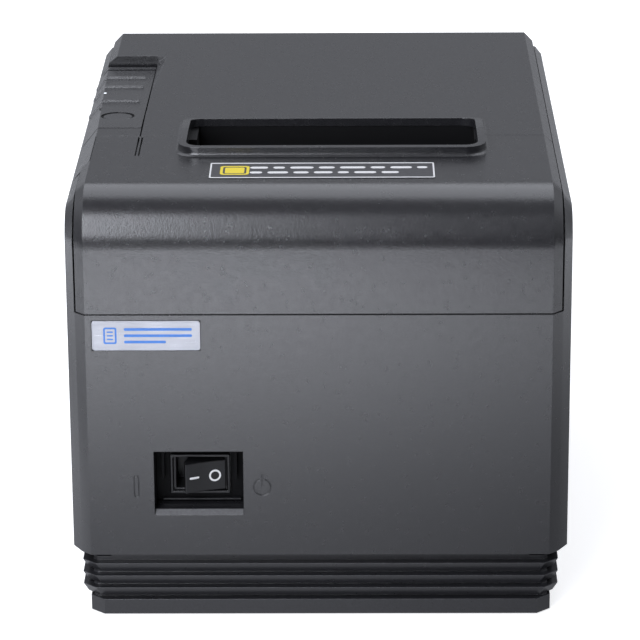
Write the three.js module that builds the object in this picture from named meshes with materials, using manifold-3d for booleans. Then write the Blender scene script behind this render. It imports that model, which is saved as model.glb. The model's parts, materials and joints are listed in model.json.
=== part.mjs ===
// Desktop receipt printer for 80 mm thermal paper, with clamshell lid, cutter and its slide-forward cover.
// Millimetres. X to the right, Y to the back, Z up. The origin is the centre of the footprint, on the table.
import * as THREE from 'three';
import { mergeVertices } from 'three/addons/utils/BufferGeometryUtils.js';
import Module from 'manifold-3d';

const wasm = await Module();
wasm.setup();

// ---------- driving dimensions ----------
const WIDTH = 145;
const DEPTH = 190;
const TOP = 129;               // flat top of the lid and the cutter cover
const WALL = 2.5;              // moulded housing wall
const SKIN = 2.2;              // lid and cover wall
const LID_TAIL = 63.5;         // half width of the lid where it passes between the rear corners
const CORNER_R = 21.1;         // the cheeks' rear corners are round about the hinge
const LID_LOW = 118;           // lower edge of the lid's skirt
const GAP = 0.3;               // seam between mouldings
const REST = 0.1;              // gap between a piece and the face it stands on
const HALF_W = WIDTH / 2;
const HALF_D = DEPTH / 2;
const ROLL_OVER = 16;          // radius of the front top edge
const BACK_CHAMFER = 2;
const BODY_FLOOR = 20;         // lower edge of the housing, above the ribbed base
const COVER_EDGE = 94.2;       // lower edge of the cutter cover
const COVER_BACK = -32;        // seam between cutter cover and lid
const CHEEK_IN = 70;           // inner face of the side walls
const CHEEK_TOP = 122.3;       // where the side wall's top facet starts
const FACET = [5.6, 2.8];      // the vertical corners have two facets, this far in from the side
const FACET_DEPTH = [2.7, 7.5];
const REAR_FACET = [0.9, 2.6];  // the rear corners are cut back less
const HINGE = { y: 87, z: 104, r: 8, pin: 2 };
const PAPER_X = 4.7;           // the paper path's centre line
const SLOT = { x: PAPER_X - 1, half: 43, front: -51.4, back: -13.6, corner: 4 };
// The rim round the paper exit: wall thickness, height at the front, flare at its foot, and where it fades out.
const RIM = { wide: 2.3, high: 2.7, flare: 0.9, flareHigh: 1.2, end: -12 };
const PLATEN = { y: -22, z: 101, r: 6, half: 40 };
const ROLL = { y: 38, z: 73, r: 44, half: 41.5 };
const PANEL = { right: -54, back: 63, front: -22, low: 125.8, step: 0.75, seam: 1.1 };
const SWITCH = { x0: -48, x1: -22.1, z0: 32.4, z1: 52.2, depth: 8 };
const SWITCH_CUT = { x0: -42.4, x1: -27.4, z0: 37.9, z1: 47.9 };
const PLATE = { x0: -64.9, x1: -33.9, z0: 83.3, z1: 92.2 };
const MODULE = 1;              // gear module

// ---------- solids ----------
function solid(geometry) {
  const bare = geometry.index ? geometry.toNonIndexed() : geometry.clone();
  bare.deleteAttribute('normal');
  bare.deleteAttribute('uv');
  const merged = mergeVertices(bare, 1e-4);
  return new wasm.Manifold(new wasm.Mesh({
    numProp: 3,
    vertProperties: merged.attributes.position.array,
    triVerts: new Uint32Array(merged.index.array),
  }));
}

function geometryOf(body) {
  const mesh = body.asOriginal().simplify(0.002).getMesh();
  const geometry = new THREE.BufferGeometry();
  geometry.setAttribute('position', new THREE.BufferAttribute(new Float32Array(mesh.vertProperties), 3));
  geometry.setIndex(new THREE.BufferAttribute(new Uint32Array(mesh.triVerts), 1));
  geometry.computeVertexNormals();
  return geometry;
}

const join = (...bodies) => bodies.reduce((all, one) => all.add(one));
const cut = (body, ...tools) => tools.reduce((rest, tool) => rest.subtract(tool), body);

function box(x0, x1, y0, y1, z0, z1) {
  const block = new THREE.BoxGeometry(x1 - x0, y1 - y0, z1 - z0);
  block.translate((x0 + x1) / 2, (y0 + y1) / 2, (z0 + z1) / 2);
  return solid(block);
}

// Frames that lay a flat outline across an axis: the outline's two numbers become the other two axes in order.
const ALONG = {
  x: new THREE.Matrix4().makeBasis(
    new THREE.Vector3(0, 1, 0), new THREE.Vector3(0, 0, 1), new THREE.Vector3(1, 0, 0)),
  y: new THREE.Matrix4().makeBasis(
    new THREE.Vector3(1, 0, 0), new THREE.Vector3(0, 0, 1), new THREE.Vector3(0, -1, 0)),
  z: new THREE.Matrix4(),
};

// A straight prism of an outline from one place on the axis to another.
function prism(axis, outline, from, to) {
  const shape = new THREE.Shape(outline.map(([a, b]) => new THREE.Vector2(a, b)));
  const block = new THREE.ExtrudeGeometry(shape, { depth: to - from, bevelEnabled: false });
  block.translate(0, 0, axis === 'y' ? -to : from);
  block.applyMatrix4(ALONG[axis]);
  return solid(block);
}

// A round bar along an axis; the centre is given by the other two coordinates in order.
function rod(axis, [a, b], r, from, to, sides = 20) {
  return prism(axis, ring(a, b, r, sides), from, to);
}

function ring(a, b, r, sides) {
  return Array.from({ length: sides }, (_, i) => {
    const turn = (i + 0.5) / sides * 2 * Math.PI;
    return [a + r * Math.cos(turn), b + r * Math.sin(turn)];
  });
}

function arc(a, b, ra, rb, fromDeg, toDeg, steps) {
  return Array.from({ length: steps + 1 }, (_, i) => {
    const turn = THREE.MathUtils.degToRad(fromDeg + (toDeg - fromDeg) * i / steps);
    return [a + ra * Math.cos(turn), b + rb * Math.sin(turn)];
  });
}

function roundedRect(a0, a1, b0, b1, r, steps = 3) {
  return [
    ...arc(a1 - r, b0 + r, r, r, -90, 0, steps), ...arc(a1 - r, b1 - r, r, r, 0, 90, steps),
    ...arc(a0 + r, b1 - r, r, r, 90, 180, steps), ...arc(a0 + r, b0 + r, r, r, 180, 270, steps),
  ];
}

// A solid through rings of points, each ring flat and with as many points as the first.
function loft(rings, flat) {
  const size = rings[0].length;
  const points = rings.flat();
  const faces = [];
  for (let k = 0; k + 1 < rings.length; k += 1) {
    for (let i = 0; i < size; i += 1) {
      const a = k * size + i;
      const b = k * size + (i + 1) % size;
      faces.push(a, b, b + size, a, b + size, a + size);
    }
  }
  const cap = THREE.ShapeUtils.triangulateShape(rings[0].map((p) => flat(p)), []);
  const last = (rings.length - 1) * size;
  cap.forEach(([a, b, c]) => faces.push(c, b, a, last + a, last + b, last + c));
  const geometry = new THREE.BufferGeometry();
  geometry.setAttribute('position', new THREE.Float32BufferAttribute(points.flat(), 3));
  geometry.setIndex(faces);
  return solid(geometry);
}

const group = new THREE.Group();
group.name = 'receipt_printer';
function finish(colour, roughness, metalness = 0) {
  return new THREE.MeshStandardMaterial({ color: colour, roughness, metalness });
}
function part(name, body, material, [x, y, z] = [0, 0, 0]) {
  const mesh = new THREE.Mesh(geometryOf(body), material());
  mesh.name = name;
  mesh.position.set(x, y, z);
  group.add(mesh);
  return mesh;
}

const casing = () => finish('#4b4b50', 0.55);
const baseGrey = () => finish('#3b3b3f', 0.6);
const innerGrey = () => finish('#2c2c30', 0.6);
const black = () => finish('#151517', 0.4);
const steel = () => finish('#b9bcc0', 0.35, 1);
const aluminium = () => finish('#c6c9cd', 0.4, 1);
const rubber = () => finish('#1c1c1d', 0.85);
const white = () => finish('#e9e7e0', 0.5);
const green = () => finish('#1f5a39', 0.5);
const brass = () => finish('#b8934a', 0.35, 1);
const silver = () => finish('#c9ccd2', 0.3, 0.9);

// ---------- housing outline ----------
// The side view of the housing, moved in from the front and the top as the facets go round the sides.
function sideView(frontIn, topIn, backIn) {
  const centre = [-HALF_D + ROLL_OVER, TOP - ROLL_OVER];
  return [
    [-HALF_D + frontIn, 0],
    ...arc(...centre, ROLL_OVER - frontIn, ROLL_OVER - topIn, 180, 90, 8),
    [HALF_D - backIn - BACK_CHAMFER, TOP - topIn],
    [HALF_D - backIn, TOP - topIn - BACK_CHAMFER],
    [HALF_D - backIn, 0],
  ];
}

function shellBlock(levels) {
  const both = [
    ...levels.slice().reverse().map(([x, view]) => [-x, view]),
    ...levels.map(([x, view]) => [x, view]),
  ];
  const rings = both.map(([x, view]) => view.map(([y, z]) => [x, y, z]).reverse());
  return loft(rings, ([, y, z]) => new THREE.Vector2(y, z));
}

const facetX = [HALF_W - FACET[0], HALF_W - FACET[1], HALF_W];
const fullBlock = shellBlock([
  [facetX[0], sideView(0, 0, 0)],
  [facetX[1], sideView(FACET_DEPTH[0], TOP - CHEEK_TOP - 3.2, REAR_FACET[0])],
  [facetX[2], sideView(FACET_DEPTH[1], TOP - CHEEK_TOP, REAR_FACET[1])],
]);
const lidCorner = 2.2;
const coverBlock = shellBlock([
  [facetX[0], sideView(0, 0, 0)],
  [facetX[1] - 0.2, sideView(FACET_DEPTH[0], lidCorner, FACET_DEPTH[0])],
]);
const insideBlock = shellBlock([
  [facetX[0] - 1.2, sideView(SKIN, SKIN, SKIN)],
  [facetX[1] - 0.2 - SKIN, sideView(FACET_DEPTH[0] + SKIN, lidCorner + SKIN, FACET_DEPTH[0] + SKIN)],
]);
const shoulderPlane = [[-facetX[0] - 0.2, TOP], [-HALF_W, CHEEK_TOP]];

function planOutline(halfW, halfD) {
  const corner = [[halfW - FACET[0], halfD], [halfW - FACET[1], halfD - FACET_DEPTH[0]],
    [halfW, halfD - FACET_DEPTH[1]]];
  const mirror = (sx, sy) => corner.map(([x, y]) => [sx * x, sy * y]);
  return [...mirror(1, -1), ...mirror(1, 1).reverse(), ...mirror(-1, 1), ...mirror(-1, -1).reverse()];
}

// ---------- base ----------
const BASE_BOTTOM = 0.4;
const RIB_TOPS = [16.4, 12.5, 8.7];
const LIP_TOP = 5;
const RIB_HIGH = 2.9;
const RIB_CORNER = [4, 3.6];    // how far the ribs' corners are cut, across and back
const CORE_CORNER = [1.2, 1.1];
const CORE_TOP = 17.6;
function ribOutline(halfW, halfD, corner = RIB_CORNER) {
  const [w, d] = [halfW - corner[0], halfD - corner[1]];
  return [[-w, -halfD], [w, -halfD], [halfW, -d], [halfW, d], [w, halfD], [-w, halfD], [-halfW, d], [-halfW, -d]];
}
const SCREW = { x: 60, y: 82.7 };
const POST_R = 4;
const corners = [[-1, -1], [1, -1], [1, 1], [-1, 1]];
const FOOT = { x: 54, y: 76, r: 6, into: 3 };
const TRAY_FLOOR = 4.4;

function baseTray() {
  let tray = prism('z', ribOutline(66.6, 90.2, CORE_CORNER), BASE_BOTTOM + 1.2, CORE_TOP)
    .add(prism('z', planOutline(66.6, 90.2), CORE_TOP - 0.5, 19.6));
  tray = tray.add(prism('z', planOutline(65.2, 88.8), BASE_BOTTOM, BASE_BOTTOM + 1.3));
  RIB_TOPS.forEach((top) => {
    const [wide, slim] = [ribOutline(69.8, 93), ribOutline(68.4, 91.6)];
    tray = tray.add(loft([slim.map(([x, y]) => [x, y, top - RIB_HIGH]), wide.map(([x, y]) => [x, y, top])],
      ([x, y]) => new THREE.Vector2(x, y)));
  });
  tray = tray.add(prism('z', ribOutline(67.6, 93), BASE_BOTTOM, LIP_TOP));
  tray = cut(tray, prism('z', planOutline(64.2, 87.8), TRAY_FLOOR, 21));
  corners.forEach(([sx, sy]) => {
    tray = tray.add(rod('z', [sx * SCREW.x, sy * SCREW.y], POST_R, 2, 19.6));
  });
  corners.forEach(([sx, sy]) => {
    const at = [sx * SCREW.x, sy * SCREW.y];
    tray = cut(tray, rod('z', at, 3.3, 0, 3.4), rod('z', at, 1.8, 0, 22),
      rod('z', [sx * FOOT.x, sy * FOOT.y], FOOT.r + GAP, 0, FOOT.into));
  });
  const vents = [];
  for (let i = -4; i <= 4; i += 1) vents.push(box(i * 9 - 1.5, i * 9 + 1.5, -40, 20, 0, 6));
  return cut(tray, ...vents);
}
part('base_tray', baseTray(), baseGrey);

const baseScrew = new THREE.LatheGeometry([
  [0, 0], [2.4, 0], [2.9, 0.6], [2.9, 1.9], [1.5, 2], [1.5, 17.4], [0.8, 18.4], [0, 18.4],
].map(([r, z]) => new THREE.Vector2(r, z)), 10).rotateX(Math.PI / 2);
const footBlock = rod('z', [0, 0], FOOT.r, 0.6, FOOT.into - REST, 16)
  .add(rod('z', [0, 0], FOOT.r - 0.8, 0, 0.7, 16));
corners.forEach(([sx, sy], i) => {
  const side = ['front_left', 'front_right', 'rear_right', 'rear_left'][i];
  part(`foot_${side}`, footBlock, rubber, [sx * FOOT.x, sy * FOOT.y, 0]);
  part(`base_screw_${side}`, solid(baseScrew), steel,
    [sx * SCREW.x, sy * SCREW.y, 1.2]);
});

// ---------- housing ----------
const PORTS = {
  dc_jack: [-53, -41, 12],
  drawer_jack: [-31, -17.5, 13.4],
  usb_port: [-7, 5.2, 10.8],
  lan_port: [17, 33, 13.6],
};
const BOARD_TOP = 22.6;
const FRONT_DECK = 81.7;
const REAR_WALL_TOP = 96.4;
const LEDGE = 119.5;
const SILL = 1.5;

function housing() {
  const hollow = prism('z', planOutline(CHEEK_IN, HALF_D - WALL), 0, TOP + 5);
  let shell = cut(fullBlock, box(-80, 80, -100, 100, -1, BODY_FLOOR), hollow,
    box(-CHEEK_IN, CHEEK_IN, -100, -50, COVER_EDGE - GAP, 140),
    box(-CHEEK_IN + 6, CHEEK_IN - 6, 80, 100, REAR_WALL_TOP, 140),
    box(-CHEEK_IN, CHEEK_IN, 60, 88, LID_LOW - 1, 140));
  // The cheeks round over at the back about the hinge, and clear the lid's rear corners.
  shell = cut(shell, prism('x', [[HINGE.y, 140], [HINGE.y, HINGE.z + CORNER_R],
    ...arc(HINGE.y, HINGE.z, CORNER_R, CORNER_R, 90, 60, 4), [120, HINGE.z + 10], [120, 140]], -80, 80));
  // Left ledge that carries the control panel, and the shoulder in front of it.
  const [inner, outer] = shoulderPlane;
  const shoulder = [[PANEL.right, LEDGE - 4], [PANEL.right, TOP], inner, outer, [-HALF_W, LEDGE - 4]];
  const corner = [[inner[0], LEDGE - 4], inner, outer, [-HALF_W, LEDGE - 4]];
  shell = join(shell,
    box(-CHEEK_IN - 1, PANEL.right, COVER_BACK, PANEL.back, LEDGE - 2, LEDGE),
    box(PANEL.right - 2, PANEL.right, COVER_BACK, PANEL.back, 104.3, LEDGE),
    prism('y', shoulder, COVER_BACK + GAP, PANEL.front - PANEL.seam),
    prism('y', corner, -57, COVER_BACK + GAP + 0.1),
    prism('z', planOutline(CHEEK_IN + 0.5, HALF_D - WALL + 0.5), FRONT_DECK - 2, FRONT_DECK)
      .intersect(box(-80, 80, -100, -62, 0, 140)));
  shell = cut(shell, box(-80, PANEL.right + 1, PANEL.front - GAP, PANEL.back + GAP, CHEEK_TOP - 0.4, 140));
  // Switch recess.
  const { x0, x1, z0, z1, depth } = SWITCH;
  const face = -HALF_D;
  shell = shell.add(box(x0 - 1.6, x1 + 1.6, face + 1, face + depth + 1.6, z0 - 1.6, z1 + 1.6));
  shell = cut(shell, prism('x', [[face - 1, z0 - 0.2], [face, z0], [face + SILL, z0 + SILL],
    [face + depth, z0 + SILL + 0.3], [face + depth, z1], [face - 1, z1]], x0, x1),
  box(SWITCH_CUT.x0, SWITCH_CUT.x1, face, face + 20, SWITCH_CUT.z0, SWITCH_CUT.z1));
  // Plate pocket, screw bosses, ports, vents.
  shell = cut(shell, box(PLATE.x0 - REST, PLATE.x1 + REST, -HALF_D - 1, -HALF_D + 0.6,
    PLATE.z0 - REST, PLATE.z1 + REST));
  corners.forEach(([sx, sy]) => {
    const [x, y] = [sx * SCREW.x, sy * SCREW.y];
    shell = join(shell, rod('z', [x, y], POST_R, BODY_FLOOR, 38),
      box(Math.min(x, sx * 71), Math.max(x, sx * 71), y - 1, y + 1, BODY_FLOOR + 4, 36));
    shell = cut(shell, rod('z', [x, y], 1.8, BODY_FLOOR - 2, 30));
  });
  Object.values(PORTS).forEach(([a, b, high]) => {
    shell = cut(shell, box(a - GAP, b + GAP, 90, 100, BOARD_TOP - 0.2, BOARD_TOP + high + GAP));
  });
  for (let i = 0; i < 6; i += 1) {
    const z = 44 + i * 6;
    shell = cut(shell, box(-30, 30, 90, 100, z, z + 2));
  }
  return shell;
}
part('housing_shell', housing(), casing);
part('name_plate', prism('y', roundedRect(PLATE.x0, PLATE.x1, PLATE.z0, PLATE.z1, 0.8),
  -HALF_D, -HALF_D + 0.5), silver);

// ---------- paper bucket and decks ----------
const DECK = 102;
const BUCKET_WALL = 2;
function rollBucket() {
  const { y, z, r, half } = ROLL;
  const [x0, x1] = [PAPER_X - half, PAPER_X + half];
  const outer = rod('x', [y, z], r + BUCKET_WALL, x0 - BUCKET_WALL, x1 + BUCKET_WALL, 36);
  let bucket = join(outer,
    box(-CHEEK_IN + GAP, CHEEK_IN - GAP, -6, 77, DECK - 2, DECK),
    box(-18, 48, -26, 0, 64, 68.4),
    box(x0 - BUCKET_WALL, x1 + BUCKET_WALL, -4, 20, 68, DECK - 10));
  bucket = cut(bucket, rod('x', [y, z], r, x0, x1, 36), box(x0, x1, -7, 76, 88, 130),
    box(-80, 80, -100, 100, DECK, 140), box(x0, x1, -20, 10, 84, 130),
    box(-8, 8, 32, 44, 20, 40));
  return bucket;
}
part('roll_bucket', rollBucket(), innerGrey);
part('paper_sensor', join(box(-7.5, 7.5, 32.5, 43.5, 27.4, 29.2), box(-3, 3, 35, 41, 24.4, 27.5)), black);

// ---------- control panel ----------
// The panel falls away from the cover's level towards the back, and carries three raised steps.
const panelTilt = Math.atan2(TOP - PANEL.low, PANEL.back - PANEL.front);
const panelTop = (y) => TOP - 0.1 - Math.tan(panelTilt) * (y - PANEL.front);
const STEPS = [44.8, 31.7, 12];
const STEP = { half: 0.65, lean: 0.2, right: -56.6 };
const GROOVE = { y: 56.2, wide: 1.9, floor: 123.9 };
const FEED = { x: -62.2, y: -6.9, r: 4.5, gap: 0.7, sunk: 0.15, tall: 5.3, stem: 0.5 };
const LED = { x: -68.2, y: [38.6, 24.2, 3.6], r: 0.5, tall: 1.9 };
const PANEL_ROOF = 123.7;
const PANEL_BACK = PANEL.back - 1.7;

function panelBlock(lift) {
  const [inner, outer] = shoulderPlane;
  const block = prism('y', [[PANEL.right - 0.1, CHEEK_TOP - 1.6], [PANEL.right - 0.1, TOP + lift],
    [inner[0], inner[1] + lift], [outer[0], outer[1] + lift], [-HALF_W, CHEEK_TOP - 0.1],
    [-CHEEK_IN + 0.6, CHEEK_TOP - 0.1], [-CHEEK_IN + 0.6, CHEEK_TOP - 1.6]], PANEL.front, PANEL_BACK);
  const [front, back] = [PANEL.front - 1, PANEL.back + 1];
  return cut(block, prism('x', [[front, panelTop(front) + lift], [back, panelTop(back) + lift], [back, 140],
    [front, 140]], -80, -40));
}

function controlPanel() {
  let panel = panelBlock(0);
  const raised = panelBlock(PANEL.step);
  STEPS.forEach((y) => {
    const [z, { half, lean }] = [panelTop(y), STEP];
    const slab = prism('x', [[y - half - lean, z - 1], [y - half + lean, z + 1], [y + half, z + 1],
      [y + half, CHEEK_TOP], [y - half - lean * (z - CHEEK_TOP), CHEEK_TOP]], -80, STEP.right);
    panel = panel.add(raised.intersect(slab));
  });
  panel = cut(panel, box(-67.6, PANEL.right - 2, PANEL.front + 2, PANEL.back - 2.6, 110, PANEL_ROOF),
    box(-80, -50, GROOVE.y, GROOVE.y + GROOVE.wide, GROOVE.floor, 140),
    rod('z', [FEED.x, FEED.y], FEED.r + FEED.gap, 110, 140, 24));
  LED.y.forEach((y) => {
    panel = cut(panel, rod('z', [LED.x, y], LED.r + 0.12, PANEL_ROOF - 0.5, 140, 10));
  });
  return panel;
}
part('control_panel', controlPanel(), casing);
const buttonFace = (y) => FEED.tall - FEED.sunk - y * Math.tan(panelTilt);
part('feed_button', join(
  cut(rod('z', [0, 0], FEED.r, 0, FEED.tall + 1, 24),
    prism('x', [[-9, buttonFace(-9)], [9, buttonFace(9)], [9, 20], [-9, 20]], -9, 9)),
  box(-2, 2, -2, 2, -FEED.stem, 0.5)), casing, [FEED.x, FEED.y, panelTop(FEED.y) - FEED.tall]);
LED.y.forEach((y, i) => {
  part(`status_led_${['paper', 'error', 'power'][i]}`, rod('z', [0, 0], LED.r, -LED.tall, 0, 10), white,
    [LED.x, y, panelTop(y)]);
});
part('panel_board', join(box(-68, -57, -13, 58, LEDGE + REST, LEDGE + 0.9),
  box(FEED.x - 2.6, FEED.x + 2.6, FEED.y - 2.6, FEED.y + 2.6, LEDGE + 0.8, LEDGE + 1.7)), green);

// ---------- rocker switch ----------
const SWITCH_FACE = -HALF_D + SWITCH.depth;
const SWITCH_MID = { x: (SWITCH_CUT.x0 + SWITCH_CUT.x1) / 2, z: (SWITCH_CUT.z0 + SWITCH_CUT.z1) / 2 };
const ROCKER = { half: 6.2, high: 4.6, pivot: SWITCH_FACE + 0.4, turn: 20 };
function switchBody() {
  const { x0, x1, z0, z1 } = SWITCH_CUT;
  const rim = SWITCH_FACE - 2;
  const body = join(box(x0 - 1.2, x1 + 1.2, rim, SWITCH_FACE - REST, z0 - 1.1, z1 + 1.1),
    box(x0 + REST, x1 - REST, SWITCH_FACE - 1, SWITCH_FACE + 12, z0 + REST, z1 - REST),
    box(SWITCH_MID.x - 5, SWITCH_MID.x - 4.2, SWITCH_FACE + 11, SWITCH_FACE + 18, 41, 45),
    box(SWITCH_MID.x + 4.2, SWITCH_MID.x + 5, SWITCH_FACE + 11, SWITCH_FACE + 18, 41, 45));
  return cut(body, box(x0 - 0.4, x1 + 0.4, rim - 1, rim + 1.4, z0 - 0.2, z1 + 0.2),
    box(x0 + 0.5, x1 - 0.5, rim - 1, SWITCH_FACE + 8, SWITCH_MID.z - ROCKER.high - 0.15,
      SWITCH_MID.z + ROCKER.high + 0.15));
}
part('switch_body', switchBody(), black);
// The rocker is slightly dished seen from above; at rest its right end is pressed in.
function rocker() {
  const { half, high, turn } = ROCKER;
  const outline = [[-half, -5], [-2, -4.55], [2, -4.55], [half, -5], [half - 0.6, -2], [2.4, 2.6], [-2.4, 2.6],
    [-half + 0.6, -2]];
  return prism('z', outline, -high, high).rotate([0, 0, turn]);
}
part('power_rocker', rocker(), black, [SWITCH_MID.x, ROCKER.pivot, SWITCH_MID.z]);

// ---------- lid ----------
const LID_SIDE = facetX[1] - 0.2;
function slotOutline(grow) {
  return roundedRect(SLOT.x - SLOT.half - grow, SLOT.x + SLOT.half + grow, SLOT.front - grow, SLOT.back + grow,
    SLOT.corner + grow, 4);
}
// The raised rim round the paper exit: a flared wall whose top falls away in a smooth curve towards the back.
function slotRim() {
  const level = (grow, z) => slotOutline(grow).map(([x, y]) => [x, y, z]);
  const wall = loft([level(RIM.wide + RIM.flare, TOP - 1), level(RIM.wide + RIM.flare, TOP),
    level(RIM.wide + RIM.flare * 0.3, TOP + RIM.flareHigh * 0.4), level(RIM.wide, TOP + RIM.flareHigh),
    level(RIM.wide, TOP + RIM.high + 1)], ([x, y]) => new THREE.Vector2(x, y));
  const front = SLOT.front - RIM.wide;
  const curve = Array.from({ length: 9 }, (_, i) => {
    const t = i / 8;
    return [front + (RIM.end - front) * t, TOP - 0.02 + RIM.high * (1 - t ** 3)];
  });
  const under = prism('x', [[front - 8, TOP - 1], [RIM.end, TOP - 1], ...curve.reverse(),
    [front - 8, TOP + RIM.high - 0.02]], -60, 70);
  return wall.intersect(under);
}

function lid() {
  let shell = cut(coverBlock, insideBlock, box(-80, 80, -100, COVER_BACK + GAP, 0, 140),
    box(-80, 80, -100, 100, -1, LID_LOW),
    box(-80, PANEL.right + 0.4, -100, PANEL.back + 0.4, 0, 140));
  const edge = PANEL.right + 0.4;
  shell = join(shell, box(edge, edge + SKIN, COVER_BACK + GAP, PANEL.back + 2, LID_LOW, TOP - 1),
    box(-67.4, edge + SKIN, PANEL.back + 0.4, PANEL.back + 0.4 + SKIN, LID_LOW, TOP - 1),
    box(-LID_TAIL, LID_TAIL, HALF_D - SKIN - 0.3, HALF_D - 0.3, HINGE.z, TOP - 2.5),
    cut(slotRim(), box(-80, 80, -100, COVER_BACK + GAP, 0, 140)));
  // Finger notch beside the panel.
  const wedge = (y, reach) => [[edge - 1, y, TOP + 1], [edge - 1, y, TOP - reach * 0.85],
    [edge, y, TOP - reach * 0.85], [edge + reach * 2.1, y, TOP + 1]];
  shell = cut(shell, loft([wedge(PANEL.back - 1, 2.2), wedge(-4, 0.3)], ([x, , z]) => new THREE.Vector2(x, z)));
  // The hinge barrel runs across the back, and the wide parts stay outside the cheeks' round ends.
  shell = shell.add(rod('x', [HINGE.y, HINGE.z], HINGE.r, -LID_TAIL, LID_TAIL, 32));
  shell = cut(shell, rod('x', [HINGE.y, HINGE.z], HINGE.pin + 0.1, -80, 80, 20),
    rod('x', [HINGE.y, HINGE.z], CORNER_R + 0.6, -80, -LID_TAIL, 48),
    rod('x', [HINGE.y, HINGE.z], CORNER_R + 0.6, LID_TAIL, 80, 48),
    box(-55, 55, 70, HINGE.y - 4.5, 90, HINGE.z + 4),
    prism('z', slotOutline(0), 90, 140));
  return shell;
}
part('lid', lid(), casing);

const innerY = { front: -28, back: 78 };
const INNER_TOP = TOP - SKIN - REST;
function lidInner() {
  const [x0, x1] = [PAPER_X - ROLL.half - 3, PAPER_X + ROLL.half + 3];
  let frame = join(
    box(x0, x1, -11.3, innerY.back, 120.5, 122.5),
    box(x0, x1, -20, -11, 116.4, 120.6),
    box(x0, x1, -13.2, -11, 93, INNER_TOP),
    box(x0, x0 + 2.8, innerY.front, -11, 95, INNER_TOP),
    box(x1 - 2.8, x1, innerY.front, -11, 95, INNER_TOP));
  for (let i = 0; i < 5; i += 1) {
    const x = x0 + 12 + i * 15.4;
    frame = frame.add(box(x, x + 1.5, -11.5, 70, 116.5 - (i % 2), 121));
  }
  const round = rod('x', [PLATEN.y, PLATEN.z], PLATEN.r + 1.2, -36.5, 46, 20);
  const bores = rod('x', [PLATEN.y, PLATEN.z], 5.3, -50, 60, 20);
  return cut(frame, round, bores,
    rod('x', [ROLL.y, ROLL.z], ROLL.r + 1.5, PAPER_X - 41, PAPER_X + 41, 36));
}
part('lid_inner_frame', lidInner(), innerGrey);
part('fixed_blade', prism('x', [[-15, 115.3], [-27.3, 115.3], [-27.3, 115.5], [-26.3, 116.3], [-15, 116.3]],
  -36.5, 45.9), steel);
part('hinge_pin', rod('x', [HINGE.y, HINGE.z], HINGE.pin, -67.5, 67.5, 20), steel);

// ---------- cutter cover ----------
const SLIT = { x: [-54.3, -53.3], wide: 0.5, front: -53, deep: 1.2 };
function cutterCover() {
  let shell = cut(coverBlock.subtract(insideBlock), box(-80, 80, COVER_BACK, 110, 0, 140),
    box(-80, 80, -110, 110, -1, COVER_EDGE));
  const left = -facetX[0] - 0.05;
  shell = cut(shell, box(-80, left, -57 - GAP, 0, 0, 140));
  shell = join(shell,
    box(left + 0.1, left + 0.1 + SKIN, -57 - GAP - 0.1, COVER_BACK, LID_LOW + 1, TOP - 0.5),
    box(-LID_SIDE, left + 0.2 + SKIN, -57 - GAP - SKIN, -57 - GAP, LID_LOW + 1, TOP - 4));
  const well = prism('z', slotOutline(1.8), TOP - 8, TOP - 1);
  const round = cut(join(slotRim(), well), box(-80, 80, COVER_BACK, 20, 0, 140));
  shell = cut(join(shell, round), prism('z', slotOutline(0), 90, 140));
  SLIT.x.forEach((x) => {
    shell = cut(shell, box(x, x + SLIT.wide, SLIT.front, COVER_BACK - 0.8, TOP - SLIT.deep, 140));
  });
  return shell;
}
part('cutter_cover', cutterCover(), casing);
const LABEL = { x0: -31.5, x1: 33.4, y0: -76.5, y1: -61.3 };
part('cover_label', prism('z', roundedRect(LABEL.x0, LABEL.x1, LABEL.y0, LABEL.y1, 0.6), TOP + 0.04, TOP + 0.2), black);

// ---------- gears ----------
const PRESSURE = THREE.MathUtils.degToRad(20);
const BACKLASH = 0.34;
const involute = (angle) => Math.tan(angle) - angle;

// The outline of a spur gear in its own plane, with one tooth centred on the angle given.
function gearOutline(teeth, at) {
  const pitch = teeth * MODULE / 2;
  const base = pitch * Math.cos(PRESSURE);
  const [root, tip] = [pitch - 1.15 * MODULE, pitch + 0.8 * MODULE];
  const half = Math.PI / 2 / teeth - BACKLASH / 2 / pitch;
  const levels = [root, Math.max(base, root + 0.1), pitch, tip];
  const flank = levels.map((r) => {
    const lean = r > base ? Math.acos(base / r) : 0;
    return [r, half + involute(PRESSURE) - involute(lean)];
  });
  return Array.from({ length: teeth }, (_, i) => {
    const mid = at + i * 2 * Math.PI / teeth;
    const side = flank.map(([r, a]) => [r, mid - a]);
    const back = flank.slice().reverse().map(([r, a]) => [r, mid + a]);
    return [...side, ...back].map(([r, a]) => [r * Math.cos(a), r * Math.sin(a)]);
  }).flat();
}
const gear = (teeth, at, x0, x1) => prism('x', gearOutline(teeth, at), x0, x1);

const TEETH = { platen: 18, idler: 30, motor: 12, wheel: 20, rackPinion: 12, cutterMotor: 12 };
const idlerTurn = THREE.MathUtils.degToRad(60);       // from the idler to the platen
const motorTurn = THREE.MathUtils.degToRad(225);      // from the idler to the motor
const centreLine = (a, b) => (a + b) * MODULE / 2;
const IDLER = {
  y: PLATEN.y - centreLine(TEETH.platen, TEETH.idler) * Math.cos(idlerTurn),
  z: PLATEN.z - centreLine(TEETH.platen, TEETH.idler) * Math.sin(idlerTurn),
};
const MOTOR = {
  y: IDLER.y + centreLine(TEETH.idler, TEETH.motor) * Math.cos(motorTurn),
  z: IDLER.z + centreLine(TEETH.idler, TEETH.motor) * Math.sin(motorTurn),
  r: 17.5,
};
// Where the idler's teeth stand as they pass the line to the motor, and the motor tooth that fits them.
const toothPitch = 2 * Math.PI / TEETH.idler;
const lead = (motorTurn - idlerTurn) % toothPitch;
const motorPhase = motorTurn + Math.PI + lead * TEETH.idler / TEETH.motor + Math.PI / TEETH.motor;

const PLATES = { left: [-43, -41.5], right: [51, 52.5] };
const GEAR_X = [-50.5, -46.5];

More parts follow.
